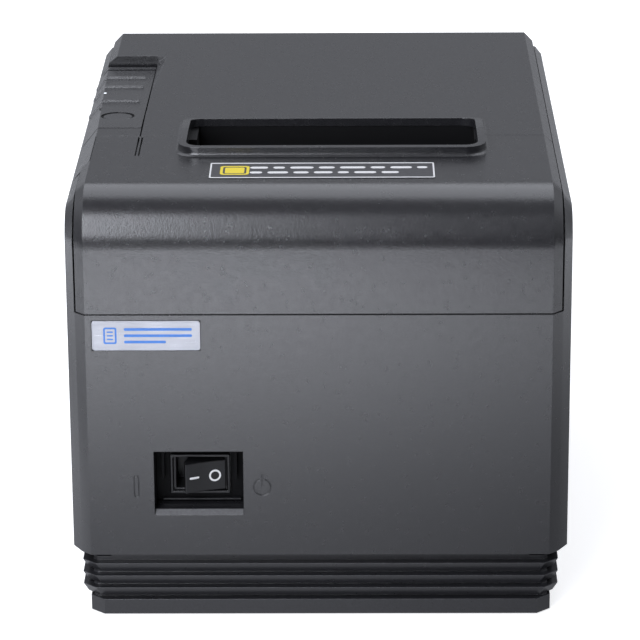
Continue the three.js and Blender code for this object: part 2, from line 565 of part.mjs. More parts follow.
// ---------- print mechanism frame ----------
const HEAD_PIVOT = { y: -33.5, z: 86, r: 1.5 };
const SPRING_X = [-20, 30];
const LATCH_PIVOT = { y: -10, z: 90, r: 1.5 };
const HEAD_PLATE = { front: -35, back: -32, low: 80, high: 109 };

function mechFrame() {
  const upper = [[-44, 68.5], [-6, 68.5], [-6, 104], [-14, 112], [-30, 112], [-36, 104], [-44, 104]];
  const lower = [[-58, 54], [-30, 54], [-26, 68.6], [-30, 92], [-44, 92], [-58, 76]];
  let frame = join(prism('x', upper, ...PLATES.left), prism('x', lower, ...PLATES.left),
    prism('x', upper, ...PLATES.right),
    box(PLATES.left[0], PLATES.right[1], -30, -8, 68.5, 70),
    box(PLATES.left[0], PLATES.right[1], -44, -42.5, 84, 104));
  SPRING_X.forEach((x) => {
    frame = cut(frame, rod('y', [x, 98], 4.2, -46, -40));
    frame = join(frame, box(x - 6.5, x - 5, -48, -43.5, 93, 103), box(x + 5, x + 6.5, -48, -43.5, 93, 103),
      box(x - 6.5, x + 6.5, -48.5, -47, 93, 103));
  });
  [PLATES.left, PLATES.right].forEach(([a, b]) => {
    frame = cut(frame, rod('x', [PLATEN.y, PLATEN.z], 3.4, a - 1, b + 1, 24),
      box(a - 1, b + 1, PLATEN.y - 3.4, PLATEN.y + 3.4, PLATEN.z, 120),
      rod('x', [HEAD_PIVOT.y, HEAD_PIVOT.z], HEAD_PIVOT.r + 0.1, a - 1, b + 1, 24),
      rod('x', [LATCH_PIVOT.y, LATCH_PIVOT.z], LATCH_PIVOT.r + 0.1, a - 1, b + 1, 24));
  });
  return join(cut(frame, rod('x', [MOTOR.y, MOTOR.z], 3.4, -50, -40, 24)),
    rod('x', [IDLER.y, IDLER.z], 1.8, -51.5, -41.6, 20));
}
part('print_frame', mechFrame(), steel);

function headPlate() {
  const { front, back, low, high } = HEAD_PLATE;
  let plate = box(-38, 48, front, back, low, high);
  for (let i = 0; i < 8; i += 1) {
    const x = -34 + i * 11.2;
    if (SPRING_X.every((s) => Math.abs(s - x) > 5.5)) plate = plate.add(box(x, x + 1.2, -38.4, front + 0.1, 86, 106));
  }
  const reach = rod('x', [HEAD_PIVOT.y, HEAD_PIVOT.z], HEAD_PIVOT.r, -43.6, 53.1, 20);
  return plate.add(reach);
}
part('head_heatsink', headPlate(), aluminium);
part('print_head', join(box(-36.5, 45.9, -31.9, -29.4, 88, 108), box(-35.4, 44.8, -29.5, -28.4, 100.2, 101.8)),
  black);

class Coil extends THREE.Curve {
  constructor(r, length, turns) {
    super();
    Object.assign(this, { r, length, turns });
  }

  getPoint(t, target = new THREE.Vector3()) {
    const turn = t * this.turns * 2 * Math.PI;
    return target.set(this.r * Math.cos(turn), -t * this.length, this.r * Math.sin(turn));
  }
}
function spring(r, wire, length, turns) {
  const section = new THREE.Shape(ring(0, 0, wire, 4).map(([a, b]) => new THREE.Vector2(a, b)));
  return solid(new THREE.ExtrudeGeometry(section, {
    steps: turns * 8, extrudePath: new Coil(r, length, turns), bevelEnabled: false,
  }));
}
SPRING_X.forEach((x, i) => {
  part(`head_spring_${i ? 'right' : 'left'}`, spring(2.9, 0.4, 9, 4), steel,
    [x, HEAD_PLATE.front - 0.6, 98]);
});

const motorBody = join(rod('x', [0, 0], MOTOR.r, -20, 0, 28), rod('x', [0, 0], 3, -20.1, 0.6, 20),
  box(-1.2, 0, -4, 4, -21, 21));
part('paper_motor', motorBody, steel, [PLATES.left[1] + 21.9, MOTOR.y, MOTOR.z]);
part('motor_pinion', join(gear(TEETH.motor, motorPhase, GEAR_X[0], GEAR_X[1]),
  rod('x', [0, 0], 1, GEAR_X[0], -40.6, 14)), brass, [0, MOTOR.y, MOTOR.z]);
part('reduction_gear', cut(gear(TEETH.idler, idlerTurn, GEAR_X[0], GEAR_X[1]),
  rod('x', [0, 0], 1.9, -60, -40, 20)), white, [0, IDLER.y, IDLER.z]);

// ---------- platen ----------
const platenAt = [0, PLATEN.y, PLATEN.z];
part('platen_roller', cut(rod('x', [0, 0], PLATEN.r, PAPER_X - PLATEN.half, PAPER_X + PLATEN.half, 32),
  rod('x', [0, 0], 3 + REST, -60, 60, 20)), rubber, platenAt);
part('platen_shaft', rod('x', [0, 0], 3, -46.4, 55.6, 20).add(rod('x', [0, 0], 1.6, -51, -46, 16)), steel,
  platenAt);
part('platen_gear', cut(gear(TEETH.platen, idlerTurn + Math.PI + Math.PI / TEETH.platen, ...GEAR_X),
  rod('x', [0, 0], 1.7, -60, -40, 20)), white, platenAt);
const bushing = cut(rod('x', [0, 0], 5, -1.4, 1.4, 20), rod('x', [0, 0], 3.08, -3, 3, 20));
part('platen_bush_left', bushing, brass, [-38.4, PLATEN.y, PLATEN.z]);
part('platen_bush_right', bushing, brass, [47.8, PLATEN.y, PLATEN.z]);

// ---------- lid latch ----------
function latch() {
  const hook = [[-13.5, 88], [-7.5, 88], [-7.5, 92], [-11.5, 108], [-21.8, 108.5], [-21.8, 105],
    [-15.6, 104.6], [-13.5, 92]];
  return join(prism('x', hook, -45, -43.5), prism('x', hook, 53, 54.5),
    rod('x', [LATCH_PIVOT.y, LATCH_PIVOT.z], LATCH_PIVOT.r, -45, 54.5, 20));
}
part('lid_latch', latch(), steel);

// ---------- cutter ----------
const CUTTER = { y: -58, z: 106.5 };
const wheelTurn = THREE.MathUtils.degToRad(225);
const CUT_MOTOR = {
  y: CUTTER.y + centreLine(TEETH.wheel, TEETH.cutterMotor) * Math.cos(wheelTurn),
  z: CUTTER.z + centreLine(TEETH.wheel, TEETH.cutterMotor) * Math.sin(wheelTurn),
  r: 8.4,
};
const CUT_WALL = [47.5, 49.5];
const RACK_Z = CUTTER.z + TEETH.rackPinion * MODULE / 2;
const BLADE = [114, 115];
function cutterFrame() {
  const side = [[-80, FRONT_DECK + REST], [-64, FRONT_DECK + REST], [-46, 92], [-46, 118], [-80, 118]];
  const frame = join(prism('x', side, -44, -42.4), prism('x', side, ...CUT_WALL),
    box(-43, 38.6, -80, -46, 108.6, 110.2),
    box(38, 48, -80, -72, 108.6, 110.2), box(38, 48, -50, -46, 108.6, 110.2),
    box(36.6, 38.6, -61, -54.5, 102, 109));
  return cut(frame, rod('x', [CUTTER.y, CUTTER.z], 2, 30, 60, 24), rod('x', [CUT_MOTOR.y, CUT_MOTOR.z], 1.6, 46, 60));
}
part('cutter_frame', cutterFrame(), steel);
part('cutter_motor', join(rod('x', [0, 0], CUT_MOTOR.r, -20, 0, 24), rod('x', [0, 0], 4, -22, -19, 20)), steel,
  [CUT_WALL[0] - REST, CUT_MOTOR.y, CUT_MOTOR.z]);
const wheelPhase = wheelTurn + Math.PI + Math.PI / TEETH.cutterMotor;
part('cutter_motor_pinion', join(gear(TEETH.cutterMotor, wheelPhase, 50.4, 55.4),
  rod('x', [0, 0], 1.1, 47.6, 55.4, 14)), brass, [0, CUT_MOTOR.y, CUT_MOTOR.z]);
part('cutter_wheel', join(gear(TEETH.wheel, wheelTurn, 50.4, 55.4), gear(TEETH.rackPinion, Math.PI / 2, 40, 46),
  rod('x', [0, 0], 1.9, 36.4, 56.4, 20)), white, [0, CUTTER.y, CUTTER.z]);

function movingBlade() {
  const edge = [[-36.4, -36], [-36.4, -29.6], [4.7, -33.4], [45.8, -29.6], [45.8, -36], [46.6, -36],
    [46.6, -62], [40, -62], [40, -58], [-40, -58], [-40, -36]];
  let blade = join(prism('z', edge, ...BLADE), box(39.6, 46.4, -68.5, -50, RACK_Z + 1.1, BLADE[1]));
  const pitch = Math.PI * MODULE;
  const lean = Math.tan(PRESSURE);
  const half = pitch / 4 - BACKLASH / 4;
  for (let i = -4; i <= 2; i += 1) {
    const y = CUTTER.y + (i + 0.5) * pitch;
    blade = blade.add(prism('x', [[y - half + 0.8 * lean, RACK_Z - 0.8], [y + half - 0.8 * lean, RACK_Z - 0.8],
      [y + half + 1.2 * lean, RACK_Z + 1.2], [y - half - 1.2 * lean, RACK_Z + 1.2]], 39.6, 46.4));
  }
  return blade;
}
part('moving_blade', movingBlade(), steel);

// ---------- electronics ----------
const BOARD = { x: 60, front: -30, back: 91, low: 21 };
const bossHoles = corners.map(([sx, sy]) => rod('z', [sx * SCREW.x, sy * SCREW.y], POST_R + 0.6, 10, 30));
part('main_board', cut(join(box(-BOARD.x, BOARD.x, BOARD.front, BOARD.back, BOARD.low, BOARD_TOP),
  box(-50, -38, -24, -12, 22, 34), box(20, 34, -26, -12, 22, 25), box(38, 52, 40, 60, 22, 27)),
...bossHoles), green);
Object.entries(PORTS).forEach(([name, [x0, x1, high]]) => {
  const shell = box(x0, x1, 78, 94.6, BOARD_TOP + REST, BOARD_TOP + high);
  const mouth = name === 'dc_jack'
    ? rod('y', [(x0 + x1) / 2, BOARD_TOP + high / 2], 4.6, 84, 100, 20)
    : box(x0 + 1.4, x1 - 1.4, 84, 100, BOARD_TOP + 2, BOARD_TOP + high - 1.6);
  part(name, cut(shell, mouth), name === 'usb_port' || name === 'lan_port' ? steel : black);
});
part('cover_switch', join(box(56, 62, -4, 8, DECK + REST, DECK + 6), box(57, 61, -3, 4, DECK + 5.9, DECK + 7.2)),
  black);
part('head_cable', prism('x', [[-39.2, 84], [-38.9, 84], [-38.9, 62], [-38.9, 30.3], [-24, 24.3], [-24, 24],
  [-39.2, 30]], -14, 18), white);

export default group;
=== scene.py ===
"""The looks of a desktop receipt printer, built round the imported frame. Metres, X right, Y back, Z up."""
import json
import math

import bmesh
import bpy
from mathutils import Matrix, Vector


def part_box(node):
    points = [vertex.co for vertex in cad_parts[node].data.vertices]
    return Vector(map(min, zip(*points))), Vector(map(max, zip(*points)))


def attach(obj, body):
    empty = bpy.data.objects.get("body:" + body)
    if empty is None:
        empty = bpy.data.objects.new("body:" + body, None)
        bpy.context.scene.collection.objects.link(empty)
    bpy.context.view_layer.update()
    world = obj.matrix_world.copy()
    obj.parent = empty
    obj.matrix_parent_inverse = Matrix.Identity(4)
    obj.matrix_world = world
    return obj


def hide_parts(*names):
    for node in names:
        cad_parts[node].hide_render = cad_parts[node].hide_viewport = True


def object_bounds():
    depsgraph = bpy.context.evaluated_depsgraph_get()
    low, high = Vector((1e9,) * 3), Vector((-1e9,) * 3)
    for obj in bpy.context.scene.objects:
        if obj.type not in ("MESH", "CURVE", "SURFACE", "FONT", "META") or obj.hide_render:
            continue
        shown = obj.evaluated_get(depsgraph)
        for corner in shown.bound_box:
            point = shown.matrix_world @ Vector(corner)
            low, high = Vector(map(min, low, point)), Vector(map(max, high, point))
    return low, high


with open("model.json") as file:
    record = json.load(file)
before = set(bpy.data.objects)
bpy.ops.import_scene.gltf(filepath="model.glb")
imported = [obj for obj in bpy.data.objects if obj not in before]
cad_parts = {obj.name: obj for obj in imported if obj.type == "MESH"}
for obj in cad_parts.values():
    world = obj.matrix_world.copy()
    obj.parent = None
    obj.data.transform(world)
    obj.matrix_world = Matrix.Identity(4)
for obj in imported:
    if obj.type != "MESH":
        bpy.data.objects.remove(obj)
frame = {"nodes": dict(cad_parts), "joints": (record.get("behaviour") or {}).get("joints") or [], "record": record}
cad_low, cad_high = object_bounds()

MM = 0.001
SLOT_OF = {row["node"]: row["material_slot"] for row in frame["record"]["subparts"]}
BODY_OF = {node: body for body, nodes in frame["record"]["behaviour"]["bodies"].items() for node in nodes}


# ---------- node material helpers ----------
class Nodes:
    """A small writer of shader nodes: one call per node, inputs by name."""

    def __init__(self, name):
        self.material = bpy.data.materials.new(name)
        self.material.use_nodes = True
        self.tree = self.material.node_tree
        self.tree.nodes.clear()
        self.out = self.add("ShaderNodeOutputMaterial")
        self.shader = self.add("ShaderNodeBsdfPrincipled")
        self.link(self.shader, "BSDF", self.out, "Surface")
        self.where = self.add("ShaderNodeTexCoord")

    def add(self, kind, **settings):
        node = self.tree.nodes.new(kind)
        for key, value in settings.items():
            setattr(node, key, value)
        return node

    def link(self, source, output, target, target_input):
        self.tree.links.new(source.outputs[output], target.inputs[target_input])

    def stretched(self, scale):
        """Object coordinates, scaled on each axis."""
        mapping = self.add("ShaderNodeMapping")
        mapping.inputs["Scale"].default_value = scale
        self.link(self.where, "Object", mapping, "Vector")
        return mapping

    def noise(self, scale, detail=2.0, roughness=0.5, stretch=None):
        """Noise whose grains are about 1/scale metres across."""
        node = self.add("ShaderNodeTexNoise")
        node.inputs["Scale"].default_value = scale
        node.inputs["Detail"].default_value = detail
        node.inputs["Roughness"].default_value = roughness
        if stretch:
            self.link(self.stretched(stretch), "Vector", node, "Vector")
        else:
            self.link(self.where, "Object", node, "Vector")
        return node

    def remap(self, source, output, low, high, to_low, to_high):
        node = self.add("ShaderNodeMapRange")
        for key, value in (("From Min", low), ("From Max", high), ("To Min", to_low), ("To Max", to_high)):
            node.inputs[key].default_value = value
        self.link(source, output, node, "Value")
        return node

    def blend(self, factor, output, first, second):
        """A colour between two, by a factor socket."""
        node = self.add("ShaderNodeMix", data_type="RGBA")
        self.link(factor, output, node, "Factor")
        node.inputs["A"].default_value = (*first, 1)
        node.inputs["B"].default_value = (*second, 1)
        return node

    def bumps(self, layers, rounding=0.0):
        """Stacked bump maps on softly rounded edges: (height node, output, strength, distance in metres)."""
        last = None
        if rounding:
            last = self.add("ShaderNodeBevel", samples=6)
            last.inputs["Radius"].default_value = rounding
        for height, output, strength, distance in layers:
            bump = self.add("ShaderNodeBump")
            bump.inputs["Strength"].default_value = strength
            bump.inputs["Distance"].default_value = distance
            self.link(height, output, bump, "Height")
            if last:
                self.link(last, "Normal", bump, "Normal")
            last = bump
        self.link(last, "Normal", self.shader, "Normal")

    def worn_and_lit_edges(self, radius):
        """1 on outside edges, 0 on flats: where a rounded normal leaves the real one."""
        bevel = self.add("ShaderNodeBevel", samples=4)
        bevel.inputs["Radius"].default_value = radius
        geometry = self.add("ShaderNodeNewGeometry")
        dot = self.add("ShaderNodeVectorMath", operation="DOT_PRODUCT")
        self.link(bevel, "Normal", dot, 0)
        self.link(geometry, "Normal", dot, 1)
        return self.remap(dot, "Value", 0.985, 0.9, 0.0, 1.0)


def moulded_plastic(name, colour, rough, grain, depth, shine=1.0, rounding=0.35, wear_and_highlight=0.0):
    """Spark-eroded plastic: fine grain, faint cloudiness, slightly polished, with edges made paler by a little
    wear and a painted highlight.

    The grain is in bumps per metre; its depth and the rounding of the edges are in millimetres.
    """
    n = Nodes(name)
    lighter = [c * 1.08 for c in colour]
    cloud = n.noise(40, 3, 0.6)
    tint = n.blend(n.remap(cloud, "Fac", 0.3, 0.7, 0, 1), "Result", colour, lighter)
    speckle = n.noise(grain * 1.3, 1, 0.4)
    mix = n.add("ShaderNodeMix", data_type="RGBA", blend_type="OVERLAY")
    mix.inputs["Factor"].default_value = 0.5
    n.link(tint, "Result", mix, "A")
    n.link(n.remap(speckle, "Fac", 0.25, 0.75, 0.25, 0.75), "Result", mix, "B")
    base = mix
    # Paler edges: part wear, part painted highlight where the edges catch the light from above.
    if wear_and_highlight:
        base = n.add("ShaderNodeMix", data_type="RGBA")
        amount = n.add("ShaderNodeMath", operation="MULTIPLY")
        n.link(n.worn_and_lit_edges(0.5 * MM), "Result", amount, 0)
        n.link(n.remap(n.noise(900, 2, 0.6), "Fac", 0.4, 0.7, 0.2 * wear_and_highlight, wear_and_highlight), "Result", amount, 1)
        n.link(amount, "Value", base, "Factor")
        n.link(mix, "Result", base, "A")
        base.inputs["B"].default_value = (*[c * 2.4 + 0.03 for c in colour], 1)
    n.link(base, "Result", n.shader, "Base Color")
    n.link(n.remap(n.noise(420, 4, 0.6), "Fac", 0.3, 0.7, rough - 0.03, rough + 0.03), "Result",
           n.shader, "Roughness")
    n.shader.inputs["Specular IOR Level"].default_value = shine
    coarse, fine = n.noise(grain, 2, 0.55), n.noise(grain * 2.3, 1, 0.5)
    n.bumps([(coarse, "Fac", 0.6, depth * MM), (fine, "Fac", 0.4, depth * MM)], rounding * MM)
    return n.material


def brushed_metal(name, colour, rough, stretch, strength=0.25, metallic=1.0):
    """Metal with drawn or rolled lines along one axis, and a little uneven tarnish."""
    n = Nodes(name)
    lines = n.noise(1, 3, 0.6, stretch=stretch)
    dull = [c * 0.72 for c in colour]
    tarnish = n.remap(n.noise(45, 4, 0.6), "Fac", 0.35, 0.75, 0, 1)
    n.link(n.blend(tarnish, "Result", colour, dull), "Result", n.shader, "Base Color")
    n.shader.inputs["Metallic"].default_value = metallic
    n.link(n.remap(lines, "Fac", 0.3, 0.7, rough - 0.1, rough + 0.12), "Result", n.shader, "Roughness")
    n.bumps([(lines, "Fac", strength, 0.02 * MM)])
    return n.material


def soft_rubber(name, colour, rough):
    """Ground or moulded rubber: dusty patches and a fine tooth."""
    n = Nodes(name)
    dusty = [c * 2.2 + 0.01 for c in colour]
    patches = n.remap(n.noise(120, 4, 0.65), "Fac", 0.45, 0.75, 0, 0.7)
    n.link(n.blend(patches, "Result", colour, dusty), "Result", n.shader, "Base Color")
    n.link(n.remap(n.noise(300, 2, 0.5), "Fac", 0.3, 0.7, rough - 0.06, rough + 0.06), "Result",
           n.shader, "Roughness")
    n.bumps([(n.noise(4200, 2, 0.5), "Fac", 0.4, 0.02 * MM)])
    return n.material


def circuit_board(name):
    """Green solder mask over faint copper tracks."""
    n = Nodes(name)
    tracks = n.add("ShaderNodeTexBrick")
    for key, value in (("Scale", 190), ("Mortar Size", 0.03), ("Brick Width", 1.7), ("Row Height", 0.22)):
        tracks.inputs[key].default_value = value
    tracks.inputs["Color1"].default_value = (0.008, 0.07, 0.03, 1)
    tracks.inputs["Color2"].default_value = (0.010, 0.085, 0.036, 1)
    tracks.inputs["Mortar"].default_value = (0.02, 0.15, 0.06, 1)
    n.link(n.where, "Object", tracks, "Vector")
    n.link(tracks, "Color", n.shader, "Base Color")
    n.link(n.remap(n.noise(200, 2, 0.5), "Fac", 0.3, 0.7, 0.25, 0.4), "Result", n.shader, "Roughness")
    n.bumps([(tracks, "Fac", 0.3, 0.03 * MM)])
    return n.material


def printed_ink(name, colour, rough=0.45, emission=0.0):
    """Thin screen-printed ink or a lit lens: slightly uneven coverage."""
    n = Nodes(name)
    thin = [c * 0.86 for c in colour]
    coverage = n.remap(n.noise(1500, 3, 0.6), "Fac", 0.4, 0.8, 0, 1)
    n.link(n.blend(coverage, "Result", colour, thin), "Result", n.shader, "Base Color")
    n.link(n.remap(n.noise(700, 2, 0.5), "Fac", 0.3, 0.7, rough - 0.05, rough + 0.05), "Result",
           n.shader, "Roughness")
    n.bumps([(n.noise(5200, 1, 0.5), "Fac", 0.2, 0.01 * MM)])
    if emission:
        n.shader.inputs["Emission Color"].default_value = (*colour, 1)
        n.shader.inputs["Emission Strength"].default_value = emission
    return n.material


BLACK_PLASTIC = (0.014, 0.014, 0.016)
MATERIALS = {
    "casing": moulded_plastic("casing", BLACK_PLASTIC, 0.25, 1500, 0.05, 1.0, 0.3, 0.3),
    # The base's edges are lightened the most: a painted highlight where its rib edges catch the light from above.
    "base_plastic": moulded_plastic("base_plastic", (0.017, 0.017, 0.0195), 0.3, 1700, 0.03, 0.9, 0.3, 1.0),
    # Darker than the casing: the inner parts' own black plastic, deepened as painted shade so the deep interior
    # reads black.
    "inner_plastic": moulded_plastic("inner_plastic", (0.0025, 0.0025, 0.003), 0.6, 2500, 0.02, 0.2),
    "bucket_plastic": moulded_plastic("bucket_plastic", (0.011, 0.011, 0.012), 0.45, 2200, 0.02, 0.5),
    "switch_plastic": moulded_plastic("switch_plastic", (0.007, 0.007, 0.008), 0.36, 5200, 0.008, 0.5, 0.25),
    "panel": moulded_plastic("panel_plastic", BLACK_PLASTIC, 0.25, 1500, 0.04, 1.0, 0.12, 0.2),
    "plate": brushed_metal("plate", (0.47, 0.48, 0.52), 0.36, (120, 9000, 9000), 0.3, 0.85),
    "label": printed_ink("label", (0.045, 0.045, 0.05), 0.35),
    "steel": brushed_metal("steel", (0.55, 0.56, 0.58), 0.36, (300, 300, 6000)),
    "hardened_steel": brushed_metal("hardened_steel", (0.6, 0.6, 0.62), 0.25, (9000, 200, 200)),
    "zinc": brushed_metal("zinc", (0.5, 0.5, 0.5), 0.38, (900, 900, 900)),
    "heatsink": brushed_metal("heatsink", (0.72, 0.73, 0.75), 0.36, (200, 4000, 4000)),
    "ceramic": printed_ink("ceramic", (0.02, 0.02, 0.022), 0.2),
    "roller_rubber": soft_rubber("roller_rubber", (0.014, 0.014, 0.015), 0.62),
    "foot_rubber": soft_rubber("foot_rubber", (0.01, 0.01, 0.01), 0.75),
    "gear_plastic": moulded_plastic("gear_plastic", (0.66, 0.64, 0.57), 0.42, 2600, 0.012, 0.5, 0.12),
    "brass": brushed_metal("brass", (0.62, 0.45, 0.2), 0.28, (5000, 700, 700)),
    "board": circuit_board("board"),
}
WHITE_INK = printed_ink("white_ink", (0.82, 0.82, 0.82), 0.4)
BLUE_INK = printed_ink("blue_ink", (0.05, 0.2, 0.62), 0.35)
YELLOW_INK = printed_ink("yellow_ink", (0.85, 0.68, 0.03), 0.4)
LED_OFF = printed_ink("led_off", (0.03, 0.03, 0.032), 0.3)
LED_LIT = printed_ink("led_lit", (0.9, 0.95, 1.0), 0.25, 1.6)
# Near-black painted shade: lines the switch recess and the gap round the feed button, where the real surfaces lie
# in shade.
SHADE_BLACK = moulded_plastic("painted_shade_black", (0.0015, 0.0015, 0.002), 0.5, 2600, 0.012, 0.12, 0.2)
ROUGH_CASING = moulded_plastic("rough_casing", (0.07, 0.07, 0.074), 0.5, 1300, 0.12, 1.0, 0.2)


# ---------- softened CAD pieces ----------
# Bevel widths in millimetres, by material slot.
BEVEL = {
    "casing": 0.45, "switch_plastic": 0.3, "plate": 0.12, "label": 0.03, "steel": 0.16, "hardened_steel": 0.1,
    "zinc": 0.25, "heatsink": 0.15, "ceramic": 0.1, "roller_rubber": 0.3, "foot_rubber": 0.4,
    "gear_plastic": 0.14, "brass": 0.12, "board": 0.12,
}
# The big mouldings have seams and slits finer than a bevel; their material rounds their edges instead.
THIN_WALLED = {"housing_shell", "lid", "cutter_cover", "control_panel", "base_tray", "roll_bucket",
               "lid_inner_frame"}
SHARP = math.radians(28)  # faces that meet more steeply keep an edge between them


def soften(node):
    """Rounds a CAD piece's edges and gives it its slot's material, with modifiers only."""
    shape = frame["nodes"][node]
    slot = SLOT_OF[node]
    weld = shape.modifiers.new("weld", "WELD")
    weld.merge_threshold = 0.002 * MM
    shape.data.materials.clear()
    shape.data.materials.append(MATERIALS[slot])
    for face in shape.data.polygons:
        face.use_smooth = True
    if node in THIN_WALLED:
        split = shape.modifiers.new("split", "EDGE_SPLIT")
        split.split_angle = SHARP
        shape.modifiers.new("normals", "WEIGHTED_NORMAL")
        return
    flat = shape.modifiers.new("flat", "DECIMATE")
    flat.decimate_type = "DISSOLVE"
    flat.angle_limit = math.radians(0.5)
    bevel = shape.modifiers.new("bevel", "BEVEL")
    bevel.width = BEVEL[slot] * MM
    bevel.segments = 2
    bevel.limit_method = "ANGLE"
    bevel.angle_limit = SHARP
    bevel.miter_outer = "MITER_ARC"
    bevel.harden_normals = True
    smooth = shape.modifiers.new("normals", "WEIGHTED_NORMAL")
    smooth.keep_sharp = True


OWN_FINISH = {"control_panel": "panel", "feed_button": "panel", "roll_bucket": "bucket_plastic"}
for name in frame["nodes"]:
    soften(name)
for name, finish in OWN_FINISH.items():
    frame["nodes"][name].data.materials[0] = MATERIALS[finish]


# ---------- printed and moulded detail ----------
TOP_VIEW = Matrix.Diagonal((MM, MM, MM, 1))
FRONT_VIEW = Matrix(((MM, 0, 0, 0), (0, 0, -MM, 0), (0, MM, 0, 0), (0, 0, 0, 1)))


def arc(x, y, r, start, end, steps):
    """Points round a centre, from one angle to another in degrees."""
    angles = [math.radians(start + (end - start) * i / steps) for i in range(steps + 1)]
    return [(x + r * math.cos(a), y + r * math.sin(a)) for a in angles]


def rounded(x0, x1, y0, y1, r, steps=4):
    """A rectangle with round corners, a quarter circle of the steps given at each."""
    corners = ((x1 - r, y1 - r, 0), (x0 + r, y1 - r, 90), (x0 + r, y0 + r, 180), (x1 - r, y0 + r, 270))
    return [point for x, y, start in corners for point in arc(x, y, r, start, start + 90, steps)]


def bar(x0, x1, y, wide):
    """A line with round ends."""
    return rounded(x0, x1, y - wide / 2, y + wide / 2, wide * 0.45, 3)


class Relief:
    """Flat shapes with a little thickness, drawn in millimetres on one face of the object."""

    def __init__(self, view):
        self.view = view
        self.mesh = bmesh.new()

    def _walls(self, outline, low, high, inward=False):
        lower = [self.mesh.verts.new(self.view @ Vector((x, y, low))) for x, y in outline]
        upper = [self.mesh.verts.new(self.view @ Vector((x, y, high))) for x, y in outline]
        count = len(outline)
        for i in range(count):
            j = (i + 1) % count
            quad = [lower[i], lower[j], upper[j], upper[i]]
            self.mesh.faces.new(quad[::-1] if inward else quad)
        return lower, upper

    def solid(self, outline, low, high):
        lower, upper = self._walls(outline, low, high)
        self.mesh.faces.new(upper)
        self.mesh.faces.new(lower[::-1])

    def ring(self, outer, inner, low, high):
        """Between two outlines with the same number of points."""
        lower, upper = self._walls(outer, low, high)
        hole_low, hole_up = self._walls(inner, low, high, inward=True)
        count = len(outer)
        for i in range(count):
            j = (i + 1) % count
            self.mesh.faces.new([upper[i], upper[j], hole_up[j], hole_up[i]])
            self.mesh.faces.new([lower[j], lower[i], hole_low[i], hole_low[j]])

    def piece(self, name, material, body, slot, bevel=0.0):
        data = bpy.data.meshes.new(name)
        bmesh.ops.recalc_face_normals(self.mesh, faces=self.mesh.faces)
        self.mesh.to_mesh(data)
        self.mesh.free()
        data.materials.append(material)
        thing = bpy.data.objects.new(name, data)
        bpy.context.scene.collection.objects.link(thing)
        if bevel:
            edge = thing.modifiers.new("bevel", "BEVEL")
            edge.width = bevel * MM
            edge.segments = 2
            edge.limit_method = "ANGLE"
        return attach(thing, body)


def corners_mm(node):
    low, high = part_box(node)
    return [value / MM for value in low], [value / MM for value in high]


INK = 0.03          # printed ink stands this far proud
BORDER = 0.45       # line width of the label's frame
BAR_GAP = 1.5
# The lengths of the label's plain bars, row by row, and how far down the label the rows run.
BAR_ROWS = ((5.2, 3.4, 6.8, 4.6, 7.4, 4.2, 6.2, 3.0), (3.6, 6.0, 4.4, 5.4, 3.2, 6.4, 5.0))
ROW_DROP = 4.9
BAR_START = 11.6
BAR_WIDE = 1.9
SIGN_IN = 7.2       # from the label's left end to the sign's centre


def square(x, y, half_x, half_y, r):
    """A rounded rectangle about its centre."""
    return rounded(x - half_x, x + half_x, y - half_y, y + half_y, r)


def cover_print():
    """A white frame, a plain yellow sign and two rows of plain white bars on the cover's label."""
    low, high = corners_mm("cover_label")
    face, ink = high[2], high[2] + INK
    white = Relief(TOP_VIEW)
    across, along = BORDER, BORDER * 1.6
    white.ring(rounded(low[0], high[0], low[1], high[1], 0.6),
               rounded(low[0] + across, high[0] - across, low[1] + along, high[1] - along, 0.3), face, ink)
    for row, lengths in enumerate(BAR_ROWS):
        x = low[0] + BAR_START
        y = high[1] - ROW_DROP * (row + 1)
        for length in lengths:
            white.solid(bar(x, x + length, y, BAR_WIDE), face, ink)
            x += length + BAR_GAP
    white.piece("label_white", WHITE_INK, BODY_OF["cover_label"], "label")
    sign = Relief(TOP_VIEW)
    centre = (low[0] + SIGN_IN, (low[1] + high[1]) / 2)
    sign.ring(square(*centre, 4.2, 4.4, 1.2), square(*centre, 3.4, 3.5, 0.8), face, ink)
    sign.solid(square(*centre, 2.8, 2.8, 0.6), face, ink)
    sign.piece("label_sign", YELLOW_INK, BODY_OF["cover_label"], "label")


PLATE_RIM = 0.4
PLATE_DISH = 0.1                   # the plate's face lies this far behind its rim
RULES = (19.5, 19.5, 12.0)         # lengths of the three rules on the plate
SLIP_IN = 5.2                      # from the plate's left end to the middle of the slip


def plate_print():
    """The bright plate with a raised rim, and a plain blue mark: a slip of paper and three rules."""
    low, high = corners_mm("name_plate")
    x0, x1, z0, z1 = low[0], high[0], low[2], high[2]
    proud = -low[1]
    outline = rounded(x0, x1, z0, z1, 0.8, 6)
    inside = rounded(x0 + PLATE_RIM, x1 - PLATE_RIM, z0 + PLATE_RIM, z1 - PLATE_RIM, 0.5, 6)
    plate = Relief(FRONT_VIEW)
    plate.solid(outline, proud - 0.5, proud - PLATE_DISH)
    plate.ring(outline, inside, proud - PLATE_DISH - 0.04, proud - 0.01)
    shown = plate.piece("plate_face", MATERIALS["plate"], BODY_OF["name_plate"], "plate", 0.08)
    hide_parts("name_plate")
    mark = Relief(FRONT_VIEW)
    face, ink = proud - 0.11, proud - 0.05
    slip = x0 + SLIP_IN
    middle = (z0 + z1) / 2
    mark.ring(square(slip, middle, 1.9, 2.5, 0.6), square(slip, middle, 1.4, 2.0, 0.3), face, ink)
    for i in range(3):
        mark.solid(bar(slip - 0.9, slip + 0.9, middle + 1.1 * (1 - i), 0.4), face, ink)
    for i, length in enumerate(RULES):
        mark.solid(bar(slip + 4, slip + 4 + length, middle + 1.9 * (1 - i), 0.8), face, ink)
    mark.piece("plate_mark", BLUE_INK, BODY_OF["name_plate"], "plate")


# The hollow round the rocker switch, in millimetres: its sides as the case leaves them.
WELL = {"x0": -48.0, "x1": -22.1, "z0": 34.2, "z1": 52.2, "front": 91.2, "back": 87.0,
        "proud": 95.0, "foot": 32.4, "sill": 1.5}
SLEEVE = 0.3          # the sleeve's wall; its near-black is painted shade
GUIDE = {"in": 1.9, "wide": 0.9, "up": 7.6}


